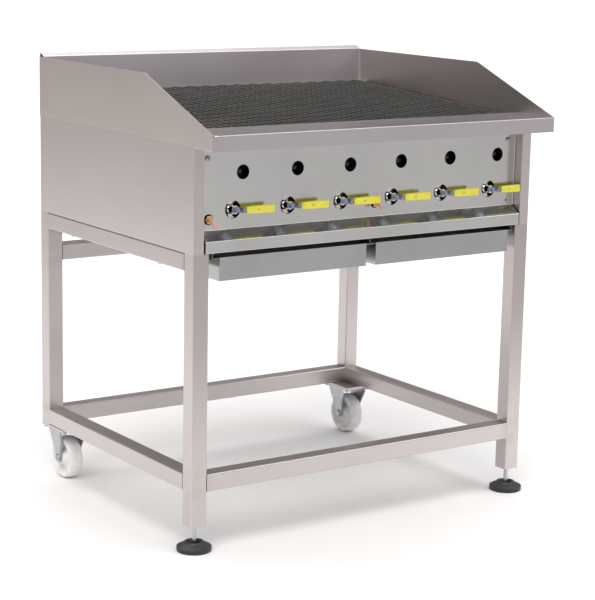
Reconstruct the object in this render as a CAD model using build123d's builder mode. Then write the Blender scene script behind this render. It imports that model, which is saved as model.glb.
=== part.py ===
"""Gas charbroiler on an open stand.

A stand of square tube carries a sheet-steel body.  Six bar burners lie under baffles and a sloping
expanded-metal grate, each fed by a lever valve behind the control panel, and two drip trays slide
on runners under the body.  Millimetres, +Z up, the front faces -Y.  The origin is on the floor,
under the middle of the whole length and depth.
"""
from build123d import *
import os
from math import atan2, cos, hypot, radians, sin

os.makedirs("parts", exist_ok=True)

# ---- overall sizes ----------------------------------------------------------------------------
BODY_W = 900.0  # width of the body, the deck and the stand
BODY_D = 688.0  # depth of the body and the stand
NOSE = 78.0  # how far the deck overhangs the body's front
INLET_OUT = 30.0  # how far the gas inlet stands out behind the body
STAND_H = 638.0  # top of the stand, where the body rests
BODY_H = 858.0  # top of the body, where the deck rests
DECK_H = 891.0  # top of the front ledge
SPLASH_H = 995.0  # top of the side splashes
BACK_H = 1004.0  # top of the back splash

# ---- stand ------------------------------------------------------------------------------------
TUBE = 38.0  # square tube of the stand
TUBE_WALL = 1.5
TUBE_CORNER = 3.0
TOUCH = 0.1  # how near an edge must be to count as the one picked
FRONT_LEG_Z = 54.5  # underside of the front legs
RAIL_Z = 130.0  # underside of the lower rails and of the rear legs
REAR_RAIL_Z = 523.0  # underside of the upper rear rail, clear below the drip trays
BOLT_R = 4.0  # M8 bolts
BOLT_HOLE_R = 4.5
BOLT_AF = 13.0
BOLT_HEAD = 5.3
NUT_T = 6.5
BOLT_FROM_FRONT = 163.0  # front and rear bolts that hold the body to the stand
BOLT_FROM_REAR = 133.0
BOLT_THREAD = 12.0  # length of bolt standing above the body's bottom flange

# ---- feet -------------------------------------------------------------------------------------
PAD_R = 37.5
PAD_RIM = 10.0
PAD_COLLAR_R = 21.0
PAD_COLLAR_Z = 20.0
PAD_DISH_R = 15.0
PAD_SEAT_Z = 13.0  # bottom of the dish that the stud stands in
STUD_R = 5.0
STUD_TOP = 112.0
THREAD_GAP = 0.05
NUT_AF = 17.0
NUT_DROP = 4.5  # how far the welded nut shows under the leg
NUT_UP = 4.0
PAD_EDGE = 1.5
PAD_SLOPE = 2.5
STUD_CHAMFER = 1.0

# ---- castors ----------------------------------------------------------------------------------
WHEEL_R = 50.0
WHEEL_W = 35.0
WHEEL_WEB = 12.0
RIM_R = 39.0  # inner radius of the rim
HUB_R = 16.0
HUB_W = 40.0
TREAD_EDGE = 6.0
WHEEL_EDGE = 2.0
AXLE_R = 6.0
RUN_GAP = 0.05  # radial clearance of a turning fit
SIDE_GAP = 0.5  # room each side of a turning hub
AXLE_HEAD_R = 8.5
AXLE_HEAD = 6.0
AXLE_DOME = 3.6
PLATE_X = 80.0
PLATE_Y = 105.0
PLATE_T = 3.0
LEG_T = 3.0
LEG_FOOT = 13.0  # half width of the bracket leg at the axle
PLATE_BOLT_IN = 8.5  # bolt centre from the edges of the castor plate
LEG_TAPER = 10.0  # straight part of the bracket leg under the plate
RIB_OUT = 4.0  # pressed rib along the straight edge of the leg
RIB_W = 3.0

# ---- sheet metal of the body ------------------------------------------------------------------
SHEET = 1.5
BEND = 3.0
TIGHT_BEND = 1.8
POST_W = 26.0  # front return of each side panel
RECESS = 26.0  # how far the control panel stands back from the body's front
TAB_W = 32.0  # tab of the post that the control panel is screwed to
TAB_FOOT_Z = 770.0
REAR_TAB = 20.0
FLANGE = 25.0
PANEL_FOOT_Z = 682.0  # where the panel folds forward into the sloping ledge
LEDGE_Z = 663.0  # front edge of the sloping ledge
FLOOR_D = 84.0  # depth of the floor under the control panel
WALL_AT = 82.0  # firebox front wall, measured back from the body's front
BACK_LOW = 30.0  # forward flange at the foot of the back panel

# ---- deck -------------------------------------------------------------------------------------
CORNER = 7.0  # vertical corners of the nose
WRAP = 8.0  # how far the nose band goes round each corner
NOSE_HEM = 14.0
LEDGE_BACK = 45.0  # rear edge of the front ledge, measured back from the body's front
LEDGE_DROP = 22.0
BEND_AT = 202.5  # where the side splash starts to fall, measured back from the body's front
BACK_T = 19.0  # thickness of the folded back splash
BACK_LIP = 7.0  # rise of its top
BACK_FOOT = 26.0  # how far its front face goes below the ledge
COVE = 6.0  # welded inner corner of the splashes
EDGE_R = 2.0
SEAM_R = 1.2

# ---- grate ------------------------------------------------------------------------------------
GRATE_GAP = 10.0  # clearance to each side splash
GRATE_END_GAP = 2.0
GRATE_T = 3.0
GRATE_FRONT_Z = 879.0  # underside at the front edge
GRATE_RISE = 35.0  # how much higher the rear edge lies
MESH_X = 44.0  # long way of one diamond
MESH_Y = 22.0  # short way
STRAND = 3.2
BORDER = 5.0
BAR_AT = 480.0  # cross bar under the grate, measured back from the body's front
BAR_T = 5.0
BAR_H = 25.0
REST_W = 20.0

# ---- burners ----------------------------------------------------------------------------------
BURNERS = 6
PITCH = 137.5
AIR_MID = 28.0  # middle of the row of burners, right of the centre
AIR_Z = 799.5
AIR_R = 15.5
BURNER_R = 19.0
BURNER_WALL = 1.6
MOUTH_AT = 66.0  # burner mouth, measured back from the body's front
BURNER_REAR = 60.0  # rear end, measured forward from the body's rear
SLOTS = 12
SLOT_W = 3.0
SLOT_L = 16.0
BAFFLE_W = 100.0
BAFFLE_RISE = 22.0
BAFFLE_T = 2.0
BAFFLE_Z = 838.0  # lower edges of the baffles
ANGLE = 25.0  # cross angles under the burners and the baffles
ANGLE_T = 3.0
CROSS_FRONT = 110.0  # front and rear cross angles, measured from the body's front and rear
CROSS_REAR = 90.0

# ---- gas train --------------------------------------------------------------------------------
VALVE_MID = 4.0  # middle of the row of valves
VALVE_Z = 722.5
VALVE_HOLE_R = 19.0
VALVE_BACK = 17.0  # valve axis behind the face of the control panel
VALVE_R = 15.5
VALVE_NECK_R = 11.5
VALVE_END_AF = 25.0
VALVE_END_L = 12.0
VALVE_HALF = 28.0  # half the length of the valve body
BONNET_R = 9.0
BONNET_OUT = 9.0  # how far the bonnet stands out of the panel
STEM_R = 4.0
STEM_IN = 14.0
STEM_OUT = 8.0
LEVER_T = 2.5
LEVER_W = 11.0
LEVER_END = 89.0
POST_CLEAR = 2.25  # the right-hand lever is cut short to clear the post by this
LEVER_EYE = 9.0
LEVER_STEP = 11.0  # joggle of the lever away from the valve
LEVER_STEP_FROM = 9.0
LEVER_STEP_TO = 14.0
SLEEVE_FROM = 19.0
SLEEVE_H = 17.0
SLEEVE_T = 9.0
SLEEVE_CORNER = 5.0
SLEEVE_EDGE = 2.5
SLEEVE_SKIN = 2.0  # rubber beyond the end of the lever
LEVER_NUT_AF = 10.0
LEVER_NUT_T = 4.5
PILOT_IN_X = 51.0  # left pilot tap, from the body's left side
PILOT_MID_X = 27.0
PILOT_Z = (705.0, 712.0)
PILOT_HOLE_R = 11.5
PILOT_AF = 17.0
PILOT_OUT = 5.0
PILOT_IN = 30.0
PILOT_STEM_R = 3.0
PILOT_KEY_R = 3.6
PILOT_KEY_L = 26.0
PILOT_DROOP = 28.0  # angle of the pilot key below the horizontal
PILOT_KEY_OUT = 4.0
PILOT_KEY_EDGE = 1.5
PILOT_STEM_IN = 8.0
PIPE_R = 13.45
PIPE_WALL = 2.65
PIPE_Z = 672.0
PIPE_IN_X = 32.0  # closed left end of the pipe, from the body's side
ELBOW_WALL = 2.0
ELBOW_L = 21.45  # from the middle of the elbow to its rear end
SUPPLY_IN_X = 45.0  # supply pipe, from the body's right side
BOSS_R = 12.0
PILOT_BOSS_R = 7.5
RISER_R = 7.0
JET_R = 5.0
JET_GAP = 4.0  # from the tip of the jet to the burner mouth
PILOT_PIPE_R = 3.0
PILOT_PIPE_BACK = 140.0
PILOT_PIPE_BEND = 20.0
PILOT_PIPE_TOP = 775.0
INLET_R = 10.4775  # G 1/2 male thread
INLET_L = 16.0
BACKNUT_AF = 36.0
BACKNUT_T = 6.0
HOLE_GAP = 1.0
CLIP_X = 250.0
CLIP_W = 25.0

# ---- screws and trays -------------------------------------------------------------------------
SCREW_IN_X = 48.0  # panel screws, from the body's sides
SCREW_Z = 832.0
SCREW_R = 2.5
SCREW_HEAD_R = 6.0
SCREW_HEAD = 3.5
SCREW_DOME = 2.1
CROSS_W = 1.4
CROSS_DEEP = 2.0
SCREW_L = 12.0
SPARE_Z = 693.0  # open screw hole near the right end of the panel
TRAY_IN_X = 62.0  # outer face of each tray, from the body's side
TRAY_INNER = 13.0  # inner face of each tray, from the centre
TRAY_BOTTOM = 579.5
TRAY_TOP = 629.0
TRAY_T = 1.2
TRAY_REAR = 60.0  # rear end of the tray, measured forward from the body's rear
TRAY_LIP = 10.0
RUNNER_T = 1.5
RUNNER_DROP = 13.5  # underside of the runner below the body
RUNNER_FLANGE = 13.0
RUNNER_CLEAR = 3.0  # between the tray's lip and the runner's web
SLIDE_GAP = 0.4
RUNNER_END = 3.0

# ---- places that follow from the sizes ------------------------------------------------------------
FRONT = NOSE - (NOSE + BODY_D + INLET_OUT) / 2  # front face of the body
REAR = FRONT + BODY_D
NOSE_Y = FRONT - NOSE
HALF = BODY_W / 2
INNER = HALF - SHEET
LEG_X = HALF - TUBE / 2
LEG_FRONT_Y = FRONT + TUBE / 2
LEG_REAR_Y = REAR - TUBE / 2
PANEL_Y = FRONT + RECESS
VALVE_Y = PANEL_Y + VALVE_BACK
WALL_Y = FRONT + WALL_AT
LEDGE_Y = FRONT + LEDGE_BACK
BACK_FACE = REAR - BACK_T
AIR_X = [AIR_MID + (i - (BURNERS - 1) / 2) * PITCH for i in range(BURNERS)]
VALVE_X = [VALVE_MID + (i - (BURNERS - 1) / 2) * PITCH for i in range(BURNERS)]
PILOT_X = (PILOT_IN_X - HALF, PILOT_MID_X)
PILOTS = list(zip(PILOT_X, PILOT_Z))
PIPE_LEFT = HALF - PIPE_IN_X
SUPPLY_X = HALF - SUPPLY_IN_X
SCREW_X = HALF - SCREW_IN_X
TRAY_OUTER = HALF - TRAY_IN_X
LAST_LEVER_END = min(LEVER_END, HALF - POST_W - POST_CLEAR - VALVE_X[-1])


def keep(piece, name):
    """Label a finished piece and write it."""
    piece.part.label = name
    export_step(piece.part, f"parts/{name}.step")


def facing_front(y):
    """Plane at depth y whose normal is -Y, with local x = X and local y = Z."""
    return Plane(origin=(0, y, 0), x_dir=(1, 0, 0), z_dir=(0, -1, 0))


def facing_back(x, y, z):
    """Plane at a point, with normal +Y and local x = X."""
    return Plane(origin=(x, y, z), x_dir=(1, 0, 0), z_dir=(0, 1, 0))


def block(x0, x1, y0, y1, z0, z1, mode=Mode.ADD):
    """Rectangular block between two corners, inside the current part."""
    with BuildSketch(Plane.XY.offset(z0)) as profile:
        with Locations(((x0 + x1) / 2, (y0 + y1) / 2)):
            Rectangle(x1 - x0, y1 - y0)
    extrude(profile.sketch, amount=z1 - z0, mode=mode)


def rod(plane, radius, length, mode=Mode.ADD):
    """Round bar standing on a plane, inside the current part."""
    with BuildSketch(plane) as profile:
        Circle(radius)
    extrude(profile.sketch, amount=length, mode=mode)


def hex_bar(plane, across_flats, length):
    """Hexagonal bar standing on a plane, inside the current part."""
    with BuildSketch(plane) as profile:
        RegularPolygon(across_flats / 2, 6, major_radius=False)
    extrude(profile.sketch, amount=length)


def folded(plane, points, thickness, bend, side, length):
    """Folded sheet with the given outer line, inside the current part."""
    with BuildSketch(plane) as profile:
        with BuildLine():
            FilletPolyline(*points, radius=bend)
            offset(amount=thickness, side=side)
        make_face()
    extrude(profile.sketch, amount=length)


# ==== stand ======================================================================================
def square_tube(start, direction, length):
    """Square tube from a point along a direction."""
    with BuildPart() as tube:
        with BuildSketch(Plane(origin=start, z_dir=direction)):
            RectangleRounded(TUBE, TUBE, TUBE_CORNER)
            RectangleRounded(
                TUBE - 2 * TUBE_WALL, TUBE - 2 * TUBE_WALL, TUBE_CORNER - TUBE_WALL, mode=Mode.SUBTRACT
            )
        extrude(amount=length)
    return tube


for side_name, sx in (("left", -1), ("right", 1)):
    front_leg = square_tube((sx * LEG_X, LEG_FRONT_Y, FRONT_LEG_Z), (0, 0, 1), STAND_H - FRONT_LEG_Z)
    keep(front_leg, f"leg_front_{side_name}")
    rear_leg = square_tube((sx * LEG_X, LEG_REAR_Y, RAIL_Z), (0, 0, 1), STAND_H - RAIL_Z)
    keep(rear_leg, f"leg_rear_{side_name}")
    lower_rail = square_tube((sx * LEG_X, FRONT + TUBE, RAIL_Z + TUBE / 2), (0, 1, 0), BODY_D - 2 * TUBE)
    keep(lower_rail, f"rail_lower_{side_name}")

across = BODY_W - 2 * TUBE
for end_name, y, z in (
    ("lower_front", LEG_FRONT_Y, RAIL_Z),
    ("lower_rear", LEG_REAR_Y, RAIL_Z),
    ("upper_rear", LEG_REAR_Y, REAR_RAIL_Z),
):
    cross_rail = square_tube((-across / 2, y, z + TUBE / 2), (1, 0, 0), across)
    keep(cross_rail, f"rail_{end_name}")

BOLT_Y = (FRONT + BOLT_FROM_FRONT, REAR - BOLT_FROM_REAR)
UPPER_RAIL_Z = STAND_H - TUBE
for side_name, sx in (("left", -1), ("right", 1)):
    with BuildPart() as upper_rail:
        start = (sx * LEG_X, FRONT + TUBE, UPPER_RAIL_Z + TUBE / 2)
        add(square_tube(start, (0, 1, 0), BODY_D - 2 * TUBE).part)
        for y in BOLT_Y:
            rod(Plane(origin=(sx * LEG_X, y, UPPER_RAIL_Z)), BOLT_HOLE_R, TUBE, mode=Mode.SUBTRACT)
    keep(upper_rail, f"rail_upper_{side_name}")

# ---- adjustable feet
with BuildPart() as foot_nuts:
    for sx in (-1, 1):
        foot = Plane(origin=(sx * LEG_X, LEG_FRONT_Y, FRONT_LEG_Z))
        inside = TUBE - 2 * TUBE_WALL
        with BuildSketch(foot):
            RectangleRounded(inside, inside, TUBE_CORNER - TUBE_WALL)
        extrude(amount=NUT_UP)
        hex_bar(foot.offset(-NUT_DROP), NUT_AF, NUT_DROP)
        rod(foot.offset(-NUT_DROP), STUD_R + THREAD_GAP, NUT_DROP + NUT_UP, mode=Mode.SUBTRACT)
keep(foot_nuts, "foot_nuts")

for side_name, sx in (("left", -1), ("right", 1)):
    with BuildPart() as pad:
        with BuildSketch(Plane.XZ.offset(-LEG_FRONT_Y)):
            with BuildLine():
                Polyline(
                    (0, PAD_SEAT_Z),
                    (0, 0),
                    (PAD_R - PAD_EDGE, 0),
                    (PAD_R, PAD_EDGE),
                    (PAD_R, PAD_RIM),
                    (PAD_R - PAD_SLOPE, PAD_RIM + PAD_EDGE),
                    (PAD_COLLAR_R + PAD_EDGE, PAD_COLLAR_Z - PAD_SLOPE),
                    (PAD_COLLAR_R, PAD_COLLAR_Z),
                    (PAD_DISH_R + PAD_EDGE, PAD_COLLAR_Z),
                    (PAD_DISH_R, PAD_COLLAR_Z - PAD_EDGE),
                    (PAD_DISH_R - PAD_SLOPE, PAD_SEAT_Z),
                    (0, PAD_SEAT_Z),
                )
            make_face()
        revolve(axis=Axis((0, LEG_FRONT_Y, 0), (0, 0, 1)))
    with BuildPart() as foot_pad:
        add(pad.part.moved(Location((sx * LEG_X, 0, 0))))
    keep(foot_pad, f"foot_{side_name}_pad")

    with BuildPart() as stud:
        rod(Plane(origin=(sx * LEG_X, LEG_FRONT_Y, PAD_SEAT_Z)), STUD_R, STUD_TOP - PAD_SEAT_Z)
        chamfer(stud.edges().group_by(Axis.Z)[-1], STUD_CHAMFER)
    keep(stud, f"foot_{side_name}_stud")

# ---- castors under the rear corners
AXLE_Y = REAR - PLATE_Y / 2
CASTOR_X = HALF - PLATE_X / 2
LEG_IN = HUB_W / 2 + SIDE_GAP  # inner face of a bracket leg, from the middle of the wheel
PLATE_Z = RAIL_Z - 2 * PLATE_T  # underside of the castor's own plate


def plate_bolts(x, y):
    """Bolt centres of a castor plate centred on x, y."""
    return [
        (x + a * (PLATE_X / 2 - PLATE_BOLT_IN), y + b * (PLATE_Y / 2 - PLATE_BOLT_IN))
        for a in (-1, 1)
        for b in (-1, 1)
    ]


with BuildPart() as corner_plates:
    for sx in (-1, 1):
        with BuildSketch(Plane.XY.offset(RAIL_Z - PLATE_T)):
            with Locations((sx * CASTOR_X, AXLE_Y)):
                Rectangle(PLATE_X, PLATE_Y)
            with Locations(*plate_bolts(sx * CASTOR_X, AXLE_Y)):
                Circle(BOLT_R, mode=Mode.SUBTRACT)
        extrude(amount=PLATE_T)
keep(corner_plates, "corner_plates")

with BuildPart() as castor_brackets:
    for sx in (-1, 1):
        cx = sx * CASTOR_X
        with BuildSketch(Plane.XY.offset(PLATE_Z)):
            with Locations((cx, AXLE_Y)):
                RectangleRounded(PLATE_X, PLATE_Y, TUBE_CORNER)
            with Locations(*plate_bolts(cx, AXLE_Y)):
                Circle(BOLT_HOLE_R, mode=Mode.SUBTRACT)
        extrude(amount=PLATE_T)
        for leg, flare in ((-1, 1), (1, -1)):
            wide = flare * (PLATE_Y / 2 - TUBE_CORNER)
            foot = flare * LEG_FOOT
            rise = PLATE_Z - WHEEL_R
            reach = leg * (LEG_IN + (LEG_T if leg < 0 else 0))
            leg_face = Plane(origin=(cx + reach, AXLE_Y, WHEEL_R), x_dir=(0, 1, 0), z_dir=(1, 0, 0))
            with BuildSketch(leg_face):
                with BuildLine():
                    Polyline((foot, 0), (wide, rise - LEG_TAPER), (wide, rise), (-foot, rise), (-foot, 0))
                    ThreePointArc((-foot, 0), (0, -LEG_FOOT), (foot, 0))
                make_face()
                Circle(AXLE_R + RUN_GAP, mode=Mode.SUBTRACT)
            extrude(amount=LEG_T)
            rib = cx + leg * (LEG_IN + LEG_T) + (0 if leg > 0 else -RIB_OUT)
            rib_y = AXLE_Y - foot
            block(rib, rib + RIB_OUT, rib_y - RIB_W / 2, rib_y + RIB_W / 2, WHEEL_R + RIB_W, PLATE_Z)
keep(castor_brackets, "castor_brackets")

for side_name, sx in (("left", -1), ("right", 1)):
    cx = sx * CASTOR_X
    with BuildPart() as wheel:
        with BuildSketch(Plane(origin=(cx, AXLE_Y, WHEEL_R), x_dir=(1, 0, 0), z_dir=(0, -1, 0))):
            with BuildLine():
                Polyline(
                    (-HUB_W / 2, AXLE_R + RUN_GAP),
                    (-HUB_W / 2, HUB_R - WHEEL_EDGE),
                    (-WHEEL_WEB / 2 - WHEEL_EDGE, HUB_R + WHEEL_EDGE),
                    (-WHEEL_WEB / 2, RIM_R - TREAD_EDGE),
                    (-WHEEL_W / 2 + WHEEL_EDGE, RIM_R),
                    (-WHEEL_W / 2, WHEEL_R - TREAD_EDGE),
                    (-WHEEL_W / 2 + WHEEL_EDGE, WHEEL_R - WHEEL_EDGE),
                    (-WHEEL_W / 2 + TREAD_EDGE, WHEEL_R),
                    (0, WHEEL_R),
                    (0, AXLE_R + RUN_GAP),
                    (-HUB_W / 2, AXLE_R + RUN_GAP),
                )
            make_face()
            mirror(about=Plane.YZ)
        revolve(axis=Axis((cx, AXLE_Y, WHEEL_R), (1, 0, 0)))
    keep(wheel, f"castor_{side_name}_wheel")

with BuildPart() as castor_axles:
    for sx in (-1, 1):
        outer = LEG_IN + LEG_T
        start = Plane(origin=(sx * CASTOR_X - outer, AXLE_Y, WHEEL_R), z_dir=(1, 0, 0))
        rod(start, AXLE_R, 2 * outer)
        rod(start.offset(-AXLE_HEAD), AXLE_HEAD_R, AXLE_HEAD)
        hex_bar(start.offset(2 * outer), NUT_AF, AXLE_HEAD)
    round_edges = castor_axles.edges().filter_by(GeomType.CIRCLE)
    head_rims = [e for e in round_edges if abs(e.radius - AXLE_HEAD_R) < TOUCH]
    head_ends = [e for e in head_rims if abs(abs(e.center().X + outer + AXLE_HEAD) - CASTOR_X) < TOUCH]
    fillet(head_ends, AXLE_DOME)
keep(castor_axles, "castor_axles")

# ==== body =======================================================================================
def bolt_row(sx):
    """Centres of the bolts that join the stand and the body on one side."""
    return [(sx * LEG_X, y) for y in BOLT_Y]


with BuildPart() as side_right:
    folded(
        Plane.XY.offset(STAND_H),
        [
            (HALF - REAR_TAB, REAR),
            (HALF, REAR),
            (HALF, FRONT),
            (HALF - POST_W, FRONT),
            (HALF - POST_W, PANEL_Y + SHEET),
            (HALF - POST_W - TAB_W, PANEL_Y + SHEET),
        ],
        SHEET,
        BEND,
        Side.RIGHT,
        BODY_H - STAND_H,
    )
    for z in (STAND_H, BODY_H - SHEET):
        block(HALF - FLANGE, HALF - SHEET / 2, FRONT + BEND, REAR - 2 * BEND, z, z + SHEET)
    tab_x = HALF - POST_W - TAB_W
    tab_back = PANEL_Y + 3 * SHEET
    block(
        tab_x - SHEET, HALF - POST_W - BEND, PANEL_Y, tab_back, STAND_H, TAB_FOOT_Z, mode=Mode.SUBTRACT
    )
    for x, y in bolt_row(1):
        rod(Plane(origin=(x, y, STAND_H)), BOLT_HOLE_R, SHEET, mode=Mode.SUBTRACT)
    behind = facing_front(tab_back).shift_origin((SCREW_X, tab_back, SCREW_Z))
    rod(behind, SCREW_R, 4 * SHEET, mode=Mode.SUBTRACT)
keep(side_right, "side_right")

with BuildPart() as side_left:
    mirror(side_right.part, about=Plane.YZ)
keep(side_left, "side_left")

BACK_HALF = INNER - BEND + SHEET  # the back panel stops at the bends of the sides
with BuildPart() as body_back:
    folded(
        Plane.YZ.offset(-BACK_HALF),
        [
            (REAR - SHEET - BACK_LOW, BODY_H),
            (REAR - SHEET, BODY_H),
            (REAR - SHEET, STAND_H),
            (REAR - SHEET - BACK_LOW, STAND_H),
        ],
        SHEET,
        BEND,
        Side.RIGHT,
        2 * BACK_HALF,
    )
    through_back = facing_back(SUPPLY_X, REAR - 3 * SHEET, PIPE_Z)
    rod(through_back, PIPE_R + HOLE_GAP / 2, 4 * SHEET, mode=Mode.SUBTRACT)
    for sx in (-1, 1):
        for z in (STAND_H, BODY_H - SHEET):
            nx0, nx1 = sorted((sx * (HALF - FLANGE - SHEET), sx * HALF))
            block(nx0, nx1, REAR - 2 * BACK_LOW, REAR - 3 * SHEET, z, z + SHEET, mode=Mode.SUBTRACT)
keep(body_back, "body_back")

PANEL_HALF = HALF - POST_W - BEND  # the panel stops where the tabs of the posts bend
with BuildPart() as control_panel:
    folded(
        Plane.YZ.offset(-PANEL_HALF),
        [
            (PANEL_Y + REAR_TAB, BODY_H - SHEET),
            (PANEL_Y, BODY_H - SHEET),
            (PANEL_Y, PANEL_FOOT_Z),
            (FRONT, LEDGE_Z),
            (FRONT, STAND_H),
            (FRONT + FLOOR_D, STAND_H),
        ],
        SHEET,
        TIGHT_BEND,
        Side.LEFT,
        2 * PANEL_HALF,
    )
    with BuildSketch(facing_front(PANEL_Y + 2 * SHEET)):
        with Locations(*[(x, AIR_Z) for x in AIR_X]):
            Circle(AIR_R)
        with Locations(*[(x, VALVE_Z) for x in VALVE_X]):
            Circle(VALVE_HOLE_R)
        with Locations(*PILOTS):
            Circle(PILOT_HOLE_R)
        with Locations((-SCREW_X, SCREW_Z), (SCREW_X, SCREW_Z), (SCREW_X, SPARE_Z)):
            Circle(SCREW_R)
    extrude(amount=3 * SHEET, mode=Mode.SUBTRACT)
    for sx in (-1, 1):
        nx0, nx1 = sorted((sx * (tab_x - SHEET), sx * HALF))
        block(
            nx0, nx1, PANEL_Y + SHEET, PANEL_Y + REAR_TAB + SHEET, BODY_H - 2 * SHEET - TIGHT_BEND, BODY_H,
            mode=Mode.SUBTRACT,
        )
keep(control_panel, "control_panel")

with BuildPart() as firebox_front:
    folded(
        Plane.YZ.offset(-INNER),
        [
            (LEDGE_Y + SHEET, DECK_H - SHEET),
            (LEDGE_Y + SHEET, GRATE_FRONT_Z),
            (WALL_Y, GRATE_FRONT_Z),
            (WALL_Y, STAND_H + SHEET),
        ],
        SHEET,
        TIGHT_BEND,
        Side.RIGHT,
        2 * INNER,
    )
    with BuildSketch(facing_front(WALL_Y)):
        with Locations(*[(x, AIR_Z) for x in AIR_X]):
            Circle(BURNER_R + HOLE_GAP / 2)
        with Locations(*PILOTS):
            Circle(PILOT_PIPE_R + HOLE_GAP)
        with Locations((SUPPLY_X, PIPE_Z)):
            Circle(PIPE_R + HOLE_GAP)
    extrude(amount=2 * SHEET, both=True, mode=Mode.SUBTRACT)
    for sx in (-1, 1):
        for z in (STAND_H + SHEET, BODY_H):
            nx0, nx1 = sorted((sx * (HALF - FLANGE - SHEET), sx * HALF))
            block(
                nx0, nx1, WALL_Y - 2 * SHEET, WALL_Y + 2 * SHEET, z - 2 * SHEET, z + 2 * SHEET,
                mode=Mode.SUBTRACT,
            )
keep(firebox_front, "firebox_front")

# ==== deck =======================================================================================
with BuildPart() as deck_front:
    folded(
        Plane.XY.offset(BODY_H),
        [(-HALF, NOSE_Y + WRAP), (-HALF, NOSE_Y), (HALF, NOSE_Y), (HALF, NOSE_Y + WRAP)],
        SHEET,
        CORNER,
        Side.LEFT,
        DECK_H - BODY_H,
    )
    with BuildSketch(Plane.XY.offset(DECK_H - SHEET)) as nose_top:
        with Locations((0, NOSE_Y + WRAP / 2)):
            Rectangle(BODY_W, WRAP)
        fillet(nose_top.vertices().group_by(Axis.Y)[0], CORNER)
    extrude(amount=SHEET)
    block(-INNER, INNER, NOSE_Y + WRAP, LEDGE_Y, DECK_H - SHEET, DECK_H)
    block(-INNER, INNER, LEDGE_Y - SHEET, LEDGE_Y, DECK_H - LEDGE_DROP, DECK_H)
    block(-HALF + CORNER, HALF - CORNER, NOSE_Y + SHEET / 2, NOSE_Y + NOSE_HEM, BODY_H, BODY_H + SHEET)
    top_edges = deck_front.edges().group_by(Axis.Z)[-1]
    fillet([e for e in top_edges if e.center().Y < NOSE_Y + CORNER - SHEET], EDGE_R)
keep(deck_front, "deck_front")

with BuildPart() as splash_right:
    with BuildSketch(Plane.YZ.offset(INNER)):
        Polygon(
            (REAR, BODY_H),
            (REAR, SPLASH_H),
            (FRONT + BEND_AT, SPLASH_H),
            (NOSE_Y + WRAP, DECK_H),
            (NOSE_Y + WRAP, BODY_H),
            align=None,
        )
    extrude(amount=SHEET)
    block(HALF - FLANGE, HALF - SHEET / 2, FRONT, BACK_FACE - SHEET, BODY_H, BODY_H + SHEET)
    outer_seam = [e for e in splash_right.edges().filter_by(Axis.Y) if abs(e.center().X - HALF) < TOUCH]
    fillet(min(outer_seam, key=lambda e: e.center().Z), SEAM_R)
keep(splash_right, "splash_right")

with BuildPart() as splash_left:
    mirror(splash_right.part, about=Plane.YZ)
keep(splash_left, "splash_left")

BACK_SLIT = DECK_H - BACK_FOOT - BODY_H - SHEET  # open slit under the front face of the back splash
with BuildPart() as splash_back:
    with BuildSketch(Plane.YZ.offset(-INNER)) as channel:
        Polygon(
            (BACK_FACE, BODY_H),
            (BACK_FACE, BACK_H - BACK_LIP),
            (REAR, BACK_H),
            (REAR, BODY_H),
            align=None,
        )
        fillet(channel.vertices(), EDGE_R)
        offset(amount=-SHEET, kind=Kind.INTERSECTION, mode=Mode.SUBTRACT)
        with Locations((BACK_FACE + SHEET / 2, BODY_H + SHEET + BACK_SLIT / 2)):
            Rectangle(SHEET, BACK_SLIT, mode=Mode.SUBTRACT)
    extrude(amount=2 * INNER)
    for sx in (-1, 1):
        with BuildSketch(Plane.XY.offset(DECK_H - BACK_FOOT)):
            with Locations((sx * (INNER - COVE / 2), BACK_FACE - COVE / 2)):
                Rectangle(COVE, COVE)
            with Locations((sx * (INNER - COVE), BACK_FACE - COVE)):
                Circle(COVE, mode=Mode.SUBTRACT)
        extrude(amount=SPLASH_H - DECK_H + BACK_FOOT)
keep(splash_back, "splash_back")

# ---- grate and its rests
GRATE_Y0 = LEDGE_Y + SHEET + GRATE_END_GAP
GRATE_Y1 = BACK_FACE - COVE - GRATE_END_GAP
SLOPE = GRATE_RISE / (GRATE_Y1 - GRATE_Y0)
TILT = atan2(GRATE_RISE, GRATE_Y1 - GRATE_Y0)
GRATE_L = hypot(GRATE_RISE, GRATE_Y1 - GRATE_Y0)
GRATE_W = 2 * (INNER - GRATE_GAP)


def grate_under(y):
    """Height of the grate's underside at depth y."""
    return GRATE_FRONT_Z + (y - GRATE_Y0) * SLOPE


def diamond_centres():
    """Centres of the whole diamonds that fit inside the border of the grate."""
    half_x, half_y = MESH_X / 2, MESH_Y / 2
    columns = int((GRATE_W / 2 - BORDER) / half_x) + 1
    rows = int((GRATE_L / 2 - BORDER) / half_y) + 1
    for i in range(-columns, columns + 1):
        for j in range(-rows, rows + 1):
            inside_x = abs(i) * half_x + half_x <= GRATE_W / 2 - BORDER
            inside_y = abs(j) * half_y + half_y <= GRATE_L / 2 - BORDER
            if (i + j) % 2 == 0 and inside_x and inside_y:
                yield i * half_x, j * half_y + GRATE_L / 2


def outline(cx, cy, half_x, half_y, square):
    """Closed wire about a centre: a rectangle, or a diamond."""
    corners = [(-1, -1), (1, -1), (1, 1), (-1, 1)] if square else [(-1, 0), (0, -1), (1, 0), (0, 1)]
    return Wire.make_polygon([(cx + a * half_x, cy + b * half_y, 0) for a, b in corners], close=True)


inset = 1 - STRAND / 2 * hypot(MESH_X / 2, MESH_Y / 2) / (MESH_X * MESH_Y / 4)
holes = [outline(x, y, inset * MESH_X / 2, inset * MESH_Y / 2, False) for x, y in diamond_centres()]
mesh_face = Face(outline(0, GRATE_L / 2, GRATE_W / 2, GRATE_L / 2, True), holes)

with BuildPart() as grate:
    tilted = Plane(origin=(0, GRATE_Y0, GRATE_FRONT_Z), x_dir=(1, 0, 0), z_dir=(0, -sin(TILT), cos(TILT)))
    with BuildSketch(tilted):
        add(mesh_face)
    extrude(amount=GRATE_T)
keep(grate, "grate")

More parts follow.
